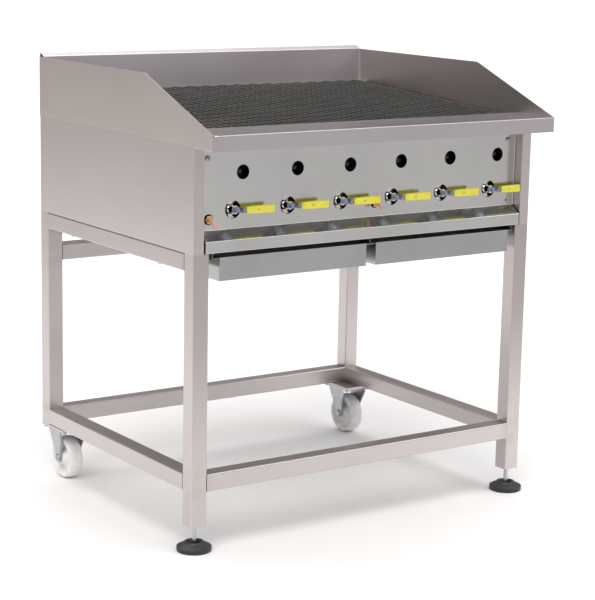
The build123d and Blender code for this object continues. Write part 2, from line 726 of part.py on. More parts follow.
BAR_Y = FRONT + BAR_AT
with BuildPart() as grate_rests:
    bar_top = grate_under(BAR_Y - BAR_T / 2)
    block(-INNER, INNER, BAR_Y - BAR_T / 2, BAR_Y + BAR_T / 2, bar_top - BAR_H, bar_top)
    rear_top = grate_under(GRATE_Y1 - REST_W)
    block(-INNER + COVE, INNER - COVE, BACK_FACE - ANGLE, BACK_FACE, rear_top - SHEET, rear_top)
    block(-INNER + COVE, INNER - COVE, BACK_FACE - SHEET, BACK_FACE, rear_top - REST_W, rear_top)
keep(grate_rests, "grate_rests")

# ==== burners and baffles ========================================================================
BURNER_Y0 = FRONT + MOUTH_AT
BURNER_Y1 = REAR - BURNER_REAR
CROSS_Y = (FRONT + CROSS_FRONT, REAR - CROSS_REAR)

with BuildPart() as burners:
    for x in AIR_X:
        rod(facing_back(x, BURNER_Y0, AIR_Z), BURNER_R, BURNER_Y1 - BURNER_Y0)
        bore_l = BURNER_Y1 - BURNER_Y0 - 2 * BURNER_WALL
        rod(facing_back(x, BURNER_Y0, AIR_Z), BURNER_R - BURNER_WALL, bore_l, mode=Mode.SUBTRACT)
    slots_mid = (CROSS_Y[0] + CROSS_Y[1]) / 2
    slot_pitch = (CROSS_Y[1] - CROSS_Y[0]) / SLOTS
    with BuildSketch(Plane.XY.offset(AIR_Z + BURNER_R / 2)):
        for x in AIR_X:
            with Locations((x, slots_mid)):
                with GridLocations(1, slot_pitch, 1, SLOTS):
                    Rectangle(SLOT_L, SLOT_W)
    extrude(amount=BURNER_R, mode=Mode.SUBTRACT)
keep(burners, "burners")


def cross_angle(y, top, facing):
    """Angle section across the body, with its top flange towards the facing side."""
    y0, y1 = sorted((y, y + facing * ANGLE))
    w0, w1 = sorted((y, y + facing * ANGLE_T))
    block(-INNER, INNER, y0, y1, top - ANGLE_T, top)
    block(-INNER, INNER, w0, w1, top - ANGLE, top)


with BuildPart() as cross_angles:
    for y, facing in ((CROSS_Y[0], 1), (CROSS_Y[1], -1)):
        cross_angle(y, AIR_Z - BURNER_R, facing)
        y0, y1 = sorted((y, y + facing * ANGLE))
        block(-INNER, INNER, y0, y1, BAFFLE_Z - ANGLE_T, BAFFLE_Z)
keep(cross_angles, "cross_angles")

with BuildPart() as baffles:
    for x in AIR_X:
        slant = (BAFFLE_W / 2, BAFFLE_RISE)
        steep = BAFFLE_T * hypot(*slant) / slant[0]
        with BuildSketch(facing_front(CROSS_Y[1])):
            with BuildLine():
                Polyline(
                    (x - slant[0], BAFFLE_Z),
                    (x, BAFFLE_Z + BAFFLE_RISE),
                    (x + slant[0], BAFFLE_Z),
                    (x + slant[0], BAFFLE_Z + steep),
                    (x, BAFFLE_Z + BAFFLE_RISE + steep),
                    (x - slant[0], BAFFLE_Z + steep),
                    (x - slant[0], BAFFLE_Z),
                )
            make_face()
        extrude(amount=CROSS_Y[1] - CROSS_Y[0])
keep(baffles, "baffles")

# ==== gas train ==================================================================================
with BuildPart() as manifold:
    along = Plane(origin=(-PIPE_LEFT, VALVE_Y, PIPE_Z), z_dir=(1, 0, 0))
    rod(along, PIPE_R, PIPE_LEFT + SUPPLY_X)
    rod(facing_back(SUPPLY_X, VALVE_Y, PIPE_Z), PIPE_R + ELBOW_WALL, ELBOW_L)
    with Locations((SUPPLY_X, VALVE_Y, PIPE_Z)):
        Sphere(PIPE_R + ELBOW_WALL)
    for x in VALVE_X:
        rod(Plane(origin=(x, VALVE_Y, PIPE_Z)), BOSS_R, VALVE_Z - VALVE_HALF - PIPE_Z)
    for x, z in PILOTS:
        rod(Plane(origin=(x, VALVE_Y, PIPE_Z)), PILOT_BOSS_R, z - PILOT_AF / 2 - PIPE_Z)
    bore_x = PIPE_LEFT + SUPPLY_X - PIPE_WALL
    rod(along.offset(PIPE_WALL), PIPE_R - PIPE_WALL, bore_x, mode=Mode.SUBTRACT)
    rod(facing_back(SUPPLY_X, VALVE_Y, PIPE_Z), PIPE_R - PIPE_WALL, ELBOW_L, mode=Mode.SUBTRACT)
keep(manifold, "manifold")

SUPPLY_Y0 = VALVE_Y + ELBOW_L
THREAD_Y = REAR + INLET_OUT - INLET_L
with BuildPart() as supply_pipe:
    rod(facing_back(SUPPLY_X, SUPPLY_Y0, PIPE_Z), PIPE_R, THREAD_Y - SUPPLY_Y0)
    rod(facing_back(SUPPLY_X, THREAD_Y, PIPE_Z), INLET_R, INLET_L)
    chamfer(supply_pipe.edges().group_by(Axis.Y)[-1], STUD_CHAMFER)
    hex_bar(facing_back(SUPPLY_X, REAR - SHEET, PIPE_Z), BACKNUT_AF, BACKNUT_T)
    pipe_bore = facing_back(SUPPLY_X, SUPPLY_Y0, PIPE_Z)
    rod(pipe_bore, INLET_R - PIPE_WALL, REAR + INLET_OUT - SUPPLY_Y0, mode=Mode.SUBTRACT)
keep(supply_pipe, "supply_pipe")

with BuildPart() as manifold_clips:
    for x in (-CLIP_X, CLIP_X):
        block(x - CLIP_W / 2, x + CLIP_W / 2, VALVE_Y - PIPE_R, VALVE_Y + PIPE_R, STAND_H + SHEET, PIPE_Z)
        saddle = Plane(origin=(x - CLIP_W / 2, VALVE_Y, PIPE_Z), z_dir=(1, 0, 0))
        rod(saddle, PIPE_R, CLIP_W, mode=Mode.SUBTRACT)
keep(manifold_clips, "manifold_clips")

with BuildPart() as valve_bodies:
    for x in VALVE_X:
        foot = Plane(origin=(x, VALVE_Y, VALVE_Z - VALVE_HALF))
        hex_bar(foot, VALVE_END_AF, VALVE_END_L)
        hex_bar(foot.offset(2 * VALVE_HALF - VALVE_END_L), VALVE_END_AF, VALVE_END_L)
        rod(foot, VALVE_NECK_R, 2 * VALVE_HALF)
        with Locations((x, VALVE_Y, VALVE_Z)):
            Sphere(VALVE_R)
        rod(facing_front(VALVE_Y).shift_origin((x, VALVE_Y, VALVE_Z)), BONNET_R, VALVE_BACK + BONNET_OUT)
    with BuildSketch(facing_front(PANEL_Y - BONNET_OUT + STEM_IN)):
        with Locations(*[(x, VALVE_Z) for x in VALVE_X]):
            Circle(STEM_R + RUN_GAP)
    extrude(amount=STEM_IN, mode=Mode.SUBTRACT)
keep(valve_bodies, "valve_bodies")

with BuildPart() as gas_risers:
    for xv, xa in zip(VALVE_X, AIR_X):
        rod(Plane(origin=(xv, VALVE_Y, VALVE_Z + VALVE_HALF)), RISER_R, AIR_Z - VALVE_Z - VALVE_HALF)
        rod(Plane(origin=(xv, VALVE_Y, AIR_Z), z_dir=(1, 0, 0)), RISER_R, xa - xv)
        rod(facing_back(xa, VALVE_Y, AIR_Z), JET_R, BURNER_Y0 - JET_GAP - VALVE_Y)
        with Locations((xv, VALVE_Y, AIR_Z), (xa, VALVE_Y, AIR_Z)):
            Sphere(RISER_R)
keep(gas_risers, "gas_risers")

LEVER_Y = PANEL_Y - BONNET_OUT - LEVER_T - SIDE_GAP  # front face of the lever's eye
GRIP_Y = LEVER_Y - LEVER_STEP  # front face of the lever under the sleeve
LEVER_ENDS = [LEVER_END] * (BURNERS - 1) + [LAST_LEVER_END]
for i, (x, end) in enumerate(zip(VALVE_X, LEVER_ENDS), start=1):
    with BuildPart() as lever:
        with BuildSketch(Plane.XY.offset(VALVE_Z - LEVER_W / 2)):
            with BuildLine():
                FilletPolyline(
                    (x - LEVER_EYE, LEVER_Y),
                    (x + LEVER_STEP_FROM, LEVER_Y),
                    (x + LEVER_STEP_TO, GRIP_Y),
                    (x + end - SLEEVE_SKIN, GRIP_Y),
                    radius=BEND,
                )
                offset(amount=LEVER_T, side=Side.LEFT)
            make_face()
        extrude(amount=LEVER_W)
        stem_in = LEVER_Y + STEM_IN
        rod(facing_front(stem_in).shift_origin((x, stem_in, VALVE_Z)), STEM_R, STEM_IN + STEM_OUT)
        hex_bar(facing_front(LEVER_Y).shift_origin((x, LEVER_Y, VALVE_Z)), LEVER_NUT_AF, LEVER_NUT_T)
    keep(lever, f"lever_{i}")

    sleeve_mid = x + (SLEEVE_FROM + end) / 2
    with BuildPart() as sleeve:
        with BuildSketch(facing_front(GRIP_Y + LEVER_T / 2 + SLEEVE_T / 2)):
            with Locations((sleeve_mid, VALVE_Z)):
                RectangleRounded(end - SLEEVE_FROM, SLEEVE_H, SLEEVE_CORNER)
        extrude(amount=SLEEVE_T)
        fillet(sleeve.edges().group_by(Axis.Y)[0], SLEEVE_EDGE)
        fillet(sleeve.edges().group_by(Axis.Y)[-1], SLEEVE_EDGE)
        block(
            x + SLEEVE_FROM - SLEEVE_SKIN, x + end - SLEEVE_SKIN, GRIP_Y, GRIP_Y + LEVER_T,
            VALVE_Z - LEVER_W / 2, VALVE_Z + LEVER_W / 2, mode=Mode.SUBTRACT,
        )
    keep(sleeve, f"lever_sleeve_{i}")

with BuildPart() as pilot_taps:
    for x, z in PILOTS:
        face = facing_front(PANEL_Y + PILOT_IN).shift_origin((x, PANEL_Y + PILOT_IN, z))
        hex_bar(face, PILOT_AF, PILOT_IN + PILOT_OUT)
        key_hole = face.offset(PILOT_IN + PILOT_OUT - PILOT_STEM_IN)
        rod(key_hole, PILOT_STEM_R + RUN_GAP, PILOT_STEM_IN, mode=Mode.SUBTRACT)
        with BuildLine() as route:
            FilletPolyline(
                (x, PANEL_Y + PILOT_IN, z),
                (x, FRONT + PILOT_PIPE_BACK, z),
                (x, FRONT + PILOT_PIPE_BACK, PILOT_PIPE_TOP),
                radius=PILOT_PIPE_BEND,
            )
        with BuildSketch(facing_back(x, PANEL_Y + PILOT_IN, z)):
            Circle(PILOT_PIPE_R)
        sweep(path=route.wires()[0])
keep(pilot_taps, "pilot_taps")

KEY_Y = PANEL_Y - PILOT_OUT - PILOT_KEY_OUT
for side_name, (x, z) in zip(("left", "middle"), PILOTS):
    droop = radians(PILOT_DROOP)
    stem_y = PANEL_Y - PILOT_OUT + PILOT_STEM_IN - SIDE_GAP
    with BuildPart() as pilot_key:
        rod(facing_front(stem_y).shift_origin((x, stem_y, z)), PILOT_STEM_R, stem_y - KEY_Y)
        with Locations((x, KEY_Y, z)):
            Sphere(PILOT_KEY_R)
        slanted = Plane(origin=(x, KEY_Y, z), x_dir=(1, 0, 0), z_dir=(0, -cos(droop), -sin(droop)))
        rod(slanted, PILOT_KEY_R, PILOT_KEY_L)
        fillet(pilot_key.edges().group_by(Axis.Y)[0], PILOT_KEY_EDGE)
    keep(pilot_key, f"pilot_key_{side_name}")

# ==== screws and bolts ===========================================================================
with BuildPart() as panel_screws:
    for x in (-SCREW_X, SCREW_X):
        face = facing_front(PANEL_Y).shift_origin((x, PANEL_Y, SCREW_Z))
        rod(face, SCREW_HEAD_R, SCREW_HEAD)
        rod(face.offset(-SCREW_L), SCREW_R, SCREW_L)
    fillet(panel_screws.edges().group_by(Axis.Y)[0], SCREW_DOME)
    for x in (-SCREW_X, SCREW_X):
        head_y = PANEL_Y - SCREW_HEAD
        with BuildSketch(facing_front(head_y).shift_origin((x, head_y, SCREW_Z))):
            Rectangle(CROSS_W, SCREW_R * 2)
            Rectangle(SCREW_R * 2, CROSS_W)
        extrude(amount=-CROSS_DEEP, mode=Mode.SUBTRACT)
keep(panel_screws, "panel_screws")

with BuildPart() as frame_bolts:
    for sx in (-1, 1):
        for x, y in bolt_row(sx):
            head = Plane(origin=(x, y, UPPER_RAIL_Z - BOLT_HEAD))
            hex_bar(head, BOLT_AF, BOLT_HEAD)
            rod(head, BOLT_R, BOLT_HEAD + TUBE + SHEET + BOLT_THREAD)
            hex_bar(Plane(origin=(x, y, STAND_H + SHEET)), BOLT_AF, NUT_T)
        for x, y in plate_bolts(sx * CASTOR_X, AXLE_Y):
            hex_bar(Plane(origin=(x, y, PLATE_Z - BOLT_HEAD)), BOLT_AF, BOLT_HEAD)
            rod(Plane(origin=(x, y, PLATE_Z)), BOLT_R, 2 * PLATE_T)
keep(frame_bolts, "frame_bolts")

# ==== drip trays and runners =====================================================================
RUNNER_Z = STAND_H - RUNNER_DROP  # underside of the runners
LIP_Z = RUNNER_Z + RUNNER_T + SLIDE_GAP  # underside of the tray lips
TRAY_Y1 = REAR - TRAY_REAR
for side_name, sx in (("left", -1), ("right", 1)):
    x0, x1 = sorted((sx * TRAY_INNER, sx * TRAY_OUTER))
    with BuildPart() as tray:
        block(x0, x1, FRONT - SHEET, TRAY_Y1, TRAY_BOTTOM, TRAY_TOP)
        block(
            x0 + TRAY_T, x1 - TRAY_T, FRONT - SHEET + TRAY_T, TRAY_Y1 - TRAY_T,
            TRAY_BOTTOM + TRAY_T, TRAY_TOP, mode=Mode.SUBTRACT,
        )
        block(x0 - TRAY_LIP, x0 + TRAY_T / 2, FRONT + RUNNER_END, TRAY_Y1, LIP_Z, LIP_Z + TRAY_T)
        block(x1 - TRAY_T / 2, x1 + TRAY_LIP, FRONT + RUNNER_END, TRAY_Y1, LIP_Z, LIP_Z + TRAY_T)
    keep(tray, f"tray_{side_name}")

WEB_X = TRAY_OUTER + TRAY_LIP + RUNNER_CLEAR
with BuildPart() as tray_runners:
    y0, y1 = FRONT + RUNNER_END, REAR - 2 * SHEET
    for sx in (-1, 1):
        wx0, wx1 = sorted((sx * WEB_X, sx * (WEB_X + RUNNER_T)))
        fx0, fx1 = sorted((sx * (WEB_X + RUNNER_T), sx * (WEB_X - RUNNER_FLANGE + RUNNER_T)))
        block(wx0, wx1, y0, y1, RUNNER_Z, STAND_H)
        block(fx0, fx1, y0, y1, RUNNER_Z, RUNNER_Z + RUNNER_T)
    block(-RUNNER_T / 2, RUNNER_T / 2, y0, y1, RUNNER_Z, STAND_H)
    block(-TRAY_INNER + SHEET, TRAY_INNER - SHEET, y0, y1, RUNNER_Z, RUNNER_Z + RUNNER_T)
keep(tray_runners, "tray_runners")
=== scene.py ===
"""Looks, floor, lights and camera for the gas charbroiler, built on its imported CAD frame.

Metres, +Z up, the front faces -Y.  Most nodes keep their CAD shape and get a material, and
seven sheet pieces also get narrow bevels.  Finer meshes replace the grate, the lever sleeves,
the pilot keys and the castor wheels.
"""

from math import cos, pi, radians, sin

import bmesh
import bpy
from mathutils import Matrix, Vector


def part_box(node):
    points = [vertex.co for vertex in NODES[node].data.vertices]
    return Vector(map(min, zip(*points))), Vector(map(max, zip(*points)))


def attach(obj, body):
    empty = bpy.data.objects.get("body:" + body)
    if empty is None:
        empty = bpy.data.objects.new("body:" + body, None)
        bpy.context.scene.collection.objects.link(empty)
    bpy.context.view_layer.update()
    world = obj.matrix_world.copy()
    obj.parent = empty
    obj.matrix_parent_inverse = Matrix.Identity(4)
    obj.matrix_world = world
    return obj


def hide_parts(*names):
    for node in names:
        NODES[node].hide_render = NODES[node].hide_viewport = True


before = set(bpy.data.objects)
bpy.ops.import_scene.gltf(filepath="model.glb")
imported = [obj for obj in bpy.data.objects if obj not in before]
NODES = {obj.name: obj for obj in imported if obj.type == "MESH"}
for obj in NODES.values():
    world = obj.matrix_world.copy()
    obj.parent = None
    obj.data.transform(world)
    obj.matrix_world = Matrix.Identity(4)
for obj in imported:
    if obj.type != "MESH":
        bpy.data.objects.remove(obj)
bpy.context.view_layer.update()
ALONG = {"X": 0, "Y": 1, "Z": 2}
LEVERS = range(1, 7)
MID = (0.3, 0.7)  # where most of a noise's values lie


# ---- node graphs ------------------------------------------------------------------------------
class Graph:
    """A material's node tree, with short calls that add one node each and return its output."""

    def __init__(self, name):
        self.material = bpy.data.materials.new(name)
        self.material.use_nodes = True
        self.tree = self.material.node_tree
        self.tree.nodes.clear()
        self.shader = self.tree.nodes.new("ShaderNodeBsdfPrincipled")
        output = self.tree.nodes.new("ShaderNodeOutputMaterial")
        self.tree.links.new(self.shader.outputs["BSDF"], output.inputs["Surface"])
        self.coords = self.tree.nodes.new("ShaderNodeTexCoord")

    def feed(self, socket, value):
        """Link an output to a socket, or set the socket's own value."""
        if isinstance(value, bpy.types.NodeSocket):
            self.tree.links.new(value, socket)
            return
        if isinstance(value, (tuple, list)) and len(value) == 3:
            if len(socket.default_value) == 4:
                value = (*value, 1.0)
        socket.default_value = value

    def set(self, **inputs):
        """Feed the surface shader's inputs, written with underscores for spaces."""
        for key, value in inputs.items():
            self.feed(self.shader.inputs[key.replace("_", " ")], value)
        return self.material

    def place(self, scale=(1, 1, 1)):
        """Object coordinates, scaled along each axis."""
        mapping = self.tree.nodes.new("ShaderNodeMapping")
        mapping.inputs["Scale"].default_value = scale
        self.feed(mapping.inputs["Vector"], self.coords.outputs["Object"])
        return mapping.outputs["Vector"]

    def noise(self, vector, scale=1.0, detail=2.0, rough=0.5, warp=0.0):
        node = self.tree.nodes.new("ShaderNodeTexNoise")
        self.feed(node.inputs["Vector"], vector)
        node.inputs["Scale"].default_value = scale
        node.inputs["Detail"].default_value = detail
        node.inputs["Roughness"].default_value = rough
        node.inputs["Distortion"].default_value = warp
        return node.outputs["Fac"]

    def cells(self, vector, scale):
        """Patches, each with a colour of its own."""
        node = self.tree.nodes.new("ShaderNodeTexVoronoi")
        self.feed(node.inputs["Vector"], vector)
        node.inputs["Scale"].default_value = scale
        return node.outputs["Color"]

    def remap(self, value, low, high, to_low=0.0, to_high=1.0, smooth=False):
        node = self.tree.nodes.new("ShaderNodeMapRange")
        node.interpolation_type = "SMOOTHSTEP" if smooth else "LINEAR"
        self.feed(node.inputs["Value"], value)
        node.inputs["From Min"].default_value = low
        node.inputs["From Max"].default_value = high
        node.inputs["To Min"].default_value = to_low
        node.inputs["To Max"].default_value = to_high
        return node.outputs["Result"]

    def math(self, kind, a, b=0.0):
        node = self.tree.nodes.new("ShaderNodeMath")
        node.operation = kind
        self.feed(node.inputs[0], a)
        self.feed(node.inputs[1], b)
        return node.outputs[0]

    def mix(self, factor, a, b, kind="MIX"):
        node = self.tree.nodes.new("ShaderNodeMix")
        node.data_type = "RGBA"
        node.blend_type = kind
        self.feed(node.inputs["Factor"], factor)
        self.feed(node.inputs["A"], a)
        self.feed(node.inputs["B"], b)
        return node.outputs["Result"]

    def axis(self, name, source="Object"):
        node = self.tree.nodes.new("ShaderNodeSeparateXYZ")
        self.feed(node.inputs[0], self.coords.outputs[source])
        return node.outputs[name]

    def facing_up(self):
        """1 on what faces up, 0 on walls, -1 on undersides."""
        geometry = self.tree.nodes.new("ShaderNodeNewGeometry")
        split = self.tree.nodes.new("ShaderNodeSeparateXYZ")
        self.feed(split.inputs[0], geometry.outputs["Normal"])
        return split.outputs["Z"]

    def edge_wear(self, low, high):
        """0 on flat faces, rising to 1 on sharp outer edges."""
        geometry = self.tree.nodes.new("ShaderNodeNewGeometry")
        return self.remap(geometry.outputs["Pointiness"], low, high)

    def bump(self, height, strength, distance):
        node = self.tree.nodes.new("ShaderNodeBump")
        node.inputs["Strength"].default_value = strength
        node.inputs["Distance"].default_value = distance
        self.feed(node.inputs["Height"], height)
        return node.outputs["Normal"]


def stretched(grain, along, across):
    """Scale that draws noise out along one axis."""
    return tuple(along if i == ALONG[grain] else across for i in range(3))


def shade_of(tone, factor):
    """A tone made lighter or darker, with no channel past white."""
    return tuple(min(c * factor, 1.0) for c in tone)


WIPED_TINT = (0.50, 0.43, 0.38)  # smudges on brushed steel
HEAT_TINT = (0.46, 0.36, 0.26)  # beside a weld
UNDERSIDE_PAINTED_SHADE = (0.10, 0.09, 0.085)  # painted shade on faces that point down, such as folded edges
WELD_NEAR, WELD_FAR = 0.004, 0.020  # how far the heat tint reaches, metres
FINGER_TINT = (0.42, 0.38, 0.30)
SCORCH_TINT = (0.13, 0.085, 0.055)
GRIME_TINT = (0.46, 0.40, 0.10)
HAIRLINE = 0.00001  # height of brushing and rolling lines, metres


def brushed(name, grain, tone, rough=0.32, joints=(), joint_axis="Z"):
    """Satin brushed steel: lines along the grain, a faint cloudy tone that is partly stain and
    partly painted reflection, wiped smudges, and painted shade on undersides.

    joints are the places of welds along joint_axis, and each gets a heat tint.
    """
    g = Graph(name)
    fine = g.noise(g.place(stretched(grain, 9, 1500)), detail=2)
    broad = g.noise(g.place(stretched(grain, 2.2, 190)), detail=3, rough=0.6)
    # large cloudy patches in the colour: partly painted reflection, partly uneven stain
    reflection_and_stain_clouds = g.noise(g.place(), scale=2.6, detail=2, warp=0.6)
    wipes = g.noise(g.place(stretched(grain, 5, 16)), scale=1.4, detail=2, rough=0.5, warp=0.2)
    smudge = g.remap(wipes, 0.54, 0.80, smooth=True)
    dark = shade_of(tone, 0.95)
    light = shade_of(tone, 1.05)
    lines = g.math("ADD", g.math("MULTIPLY", fine, 0.35), g.math("MULTIPLY", broad, 0.65))
    shade = g.math("ADD", g.math("MULTIPLY", reflection_and_stain_clouds, 0.80), g.math("MULTIPLY", lines, 0.20))
    colour = g.mix(g.remap(shade, *MID), dark, light)
    colour = g.mix(g.math("MULTIPLY", smudge, 0.06), colour, WIPED_TINT)
    if joints:
        height = g.axis(joint_axis)
        heat = None
        for place in joints:
            near = g.math("ABSOLUTE", g.math("SUBTRACT", height, place))
            band = g.remap(near, WELD_NEAR, WELD_FAR, 1.0, 0.0, smooth=True)
            heat = band if heat is None else g.math("MAXIMUM", heat, band)
        heat = g.math("MULTIPLY", heat, g.remap(wipes, 0.38, 0.62, 0.04, 0.20))
        colour = g.mix(heat, colour, HEAT_TINT)
    # painted shade: faces that point down are darkened towards near black
    below = g.remap(g.facing_up(), -0.9, -0.6, 0.8, 0.0)
    colour = g.mix(below, colour, UNDERSIDE_PAINTED_SHADE)
    low = g.remap(lines, *MID, rough - 0.008, rough + 0.008)
    roughness = g.math("ADD", low, g.math("MULTIPLY", smudge, 0.02))
    roughness = g.math("ADD", roughness, g.remap(reflection_and_stain_clouds, *MID, -0.03, 0.03))
    return g.set(
        Base_Color=colour, Metallic=1.0, Roughness=roughness, Normal=g.bump(fine, 0.05, HAIRLINE)
    )


def galvanised(name, tone, grain, rough):
    """Greenish cold-rolled sheet: soft spangle, long rolling lines and dull fingerprints."""
    g = Graph(name)
    spangle = g.cells(g.place(stretched(grain, 14, 26)), 1.6)
    cloud = g.noise(g.place(), scale=3.5, detail=3, warp=0.8)
    roll = g.noise(g.place(stretched(grain, 1.2, 240)), detail=2)
    marks = g.remap(g.noise(g.place(), scale=17, detail=5, rough=0.7), 0.55, 0.72, smooth=True)
    colour = g.mix(g.remap(cloud, *MID), shade_of(tone, 0.94), shade_of(tone, 1.05))
    colour = g.mix(0.02, colour, spangle, "OVERLAY")
    colour = g.mix(g.math("MULTIPLY", marks, 0.07), colour, FINGER_TINT)
    low = g.remap(roll, *MID, rough - 0.006, rough + 0.008)
    roughness = g.math("ADD", low, g.math("MULTIPLY", marks, 0.04))
    return g.set(
        Base_Color=colour, Metallic=1.0, Roughness=roughness, Normal=g.bump(roll, 0.02, HAIRLINE)
    )


def scaled_iron(name, tone, rough, worn_and_highlight=(0.30, 0.29, 0.28)):
    """Dark rolled steel: blue-black scale, brown heat marks, and sharp edges painted lighter,
    partly wear from rubbing and partly a painted highlight.
    """
    g = Graph(name)
    patch = g.noise(g.place(), scale=9, detail=4, warp=0.7)
    grit = g.noise(g.place(), scale=420, detail=3, rough=0.7)
    heat = g.remap(g.noise(g.place(), scale=4.2, detail=3), 0.50, 0.68, smooth=True)
    colour = g.mix(g.remap(patch, *MID), shade_of(tone, 0.72), shade_of(tone, 1.35))
    colour = g.mix(g.math("MULTIPLY", heat, 0.35), colour, SCORCH_TINT)
    # painted highlight: sharp edges turn lighter, both as wear from rubbing and as light caught on
    # the edges
    rubbed_and_highlight = g.math("MULTIPLY", g.edge_wear(0.51, 0.60), g.remap(grit, 0.35, 0.6, 0.25, 0.9))
    colour = g.mix(rubbed_and_highlight, colour, worn_and_highlight)
    roughness = g.remap(patch, *MID, rough - 0.08, rough + 0.12)
    return g.set(
        Base_Color=colour, Metallic=0.30, Roughness=roughness,
        Specular_IOR_Level=0.25, Normal=g.bump(grit, 0.30, 0.0001)
    )


def plated(name, tone, rough, cloud=0.12, stain=(0.40, 0.34, 0.26)):
    """Plated or drawn metal: mottled tone, small pits and a stained bloom."""
    g = Graph(name)
    mottle = g.noise(g.place(), scale=55, detail=4, warp=0.5)
    pits = g.noise(g.place(), scale=840, detail=2)
    bloom = g.remap(g.noise(g.place(), scale=24, detail=3), 0.52, 0.70, smooth=True)
    mottled = g.remap(mottle, *MID)
    colour = g.mix(mottled, shade_of(tone, 1 - cloud), shade_of(tone, 1 + cloud))
    colour = g.mix(g.math("MULTIPLY", bloom, 0.22), colour, stain)
    low = g.remap(mottle, *MID, rough - 0.05, rough + 0.06)
    roughness = g.math("ADD", low, g.math("MULTIPLY", bloom, 0.10))
    return g.set(
        Base_Color=colour, Metallic=1.0, Roughness=roughness, Normal=g.bump(pits, 0.12, 0.00008)
    )


def moulded(name, tone, rough, dust=(0.45, 0.43, 0.40), dusty=0.12, grain=900.0):
    """Moulded plastic or rubber: fine skin texture, handled patches and dust on what faces up."""
    g = Graph(name)
    skin = g.noise(g.place(), scale=grain, detail=3, rough=0.6)
    patch = g.noise(g.place(), scale=38, detail=4, warp=0.6)
    scuff = g.remap(g.noise(g.place((60, 60, 200)), detail=5, rough=0.7), 0.56, 0.70, smooth=True)
    colour = g.mix(g.remap(patch, *MID), shade_of(tone, 0.90), shade_of(tone, 1.07))
    settled = g.math("MULTIPLY", g.remap(g.facing_up(), 0.2, 1.0), dusty)
    settled = g.math("ADD", settled, g.math("MULTIPLY", scuff, dusty * 0.8))
    colour = g.mix(settled, colour, dust)
    low = g.remap(patch, *MID, rough - 0.06, rough + 0.08)
    roughness = g.math("ADD", low, g.math("MULTIPLY", scuff, 0.12))
    return g.set(
        Base_Color=colour, Metallic=0.0, Roughness=roughness, Normal=g.bump(skin, 0.25, 0.00008)
    )


def vinyl(name, tone, mark):
    """Dipped vinyl on a lever: orange-peel skin, a sunk panel with two plain bars, a grimy neck.

    Generated coordinates run from 0 to 1 over each sleeve's own box.
    """
    g = Graph(name)
    peel = g.noise(g.place(), scale=320, detail=3)
    patch = g.noise(g.place(), scale=60, detail=4)
    u = g.axis("X", "Generated")
    w = g.axis("Z", "Generated")

    def inside(value, low, high, soft):
        rise = g.remap(value, low - soft, low + soft, smooth=True)
        fall = g.remap(value, high - soft, high + soft, 1.0, 0.0, smooth=True)
        return g.math("MULTIPLY", rise, fall)

    panel = g.math("MULTIPLY", inside(u, 0.30, 0.90, 0.012), inside(w, 0.24, 0.76, 0.05))
    bars = g.math("MAXIMUM", inside(u, 0.36, 0.385, 0.006), inside(u, 0.42, 0.445, 0.006))
    bars = g.math("MULTIPLY", bars, inside(w, 0.36, 0.64, 0.04))
    front = g.remap(g.axis("Y", "Generated"), 0.10, 0.30, 1.0, 0.0)
    bars = g.math("MULTIPLY", g.math("MULTIPLY", bars, front), g.remap(patch, 0.3, 0.6, 0.4, 0.85))
    colour = g.mix(g.remap(patch, *MID), shade_of(tone, 0.90), shade_of(tone, 1.06))
    grime = g.math("MULTIPLY", g.remap(u, 0.0, 0.10, 1.0, 0.0), 0.30)
    colour = g.mix(grime, colour, GRIME_TINT)
    colour = g.mix(bars, colour, mark)
    height = g.math("ADD", g.math("MULTIPLY", peel, 0.10), g.math("MULTIPLY", panel, -0.9))
    return g.set(
        Base_Color=colour, Metallic=0.0, Roughness=g.remap(patch, *MID, 0.30, 0.44),
        Coat_Weight=0.15, Coat_Roughness=0.25, Normal=g.bump(height, 0.5, 0.0004)
    )


FLOOR_REACH = 60.0
FLOOR_FRONT_FROM, FLOOR_FRONT_TO = -1.7, -0.95  # over this stretch of Y the floor turns white
FLOOR_LEFT_FROM, FLOOR_LEFT_TO = -6.0, -1.8  # and over this stretch, measured across the slant
FLOOR_SLANT = 0.475
FLOOR_LEFT_TONE = (0.36, 0.345, 0.335)
FLOOR_FRONT_TONE = (0.43, 0.415, 0.42)


def pale_floor():
    """White sweep that falls off in front of the stand and far out to its left."""
    g = Graph("floor_paint")
    cloud = g.noise(g.place(), scale=0.8, detail=3)
    grit = g.noise(g.place(), scale=220, detail=2)
    colour = g.mix(g.remap(cloud, *MID), (0.86, 0.855, 0.85), (0.88, 0.875, 0.87))
    front = g.remap(g.axis("Y"), FLOOR_FRONT_FROM, FLOOR_FRONT_TO, smooth=True)
    sideways = g.math("SUBTRACT", g.axis("X"), g.math("MULTIPLY", g.axis("Y"), FLOOR_SLANT))
    left = g.remap(sideways, FLOOR_LEFT_FROM, FLOOR_LEFT_TO, smooth=True)
    colour = g.mix(left, FLOOR_LEFT_TONE, colour)
    colour = g.mix(front, FLOOR_FRONT_TONE, colour)
    roughness = g.remap(cloud, *MID, 0.80, 0.90)
    return g.set(Base_Color=colour, Roughness=roughness, Normal=g.bump(grit, 0.1, 0.0002))


# ---- meshes -----------------------------------------------------------------------------------
def new_piece(name, vertices, faces, material, smooth=True):
    mesh = bpy.data.meshes.new(name)
    mesh.from_pydata([tuple(v) for v in vertices], [], faces)
    mesh.materials.append(material)
    bm = bmesh.new()
    bm.from_mesh(mesh)
    bmesh.ops.recalc_face_normals(bm, faces=bm.faces)
    bm.to_mesh(mesh)
    bm.free()
    for polygon in mesh.polygons:
        polygon.use_smooth = smooth
    piece = bpy.data.objects.new(name, mesh)
    bpy.context.scene.collection.objects.link(piece)
    return piece


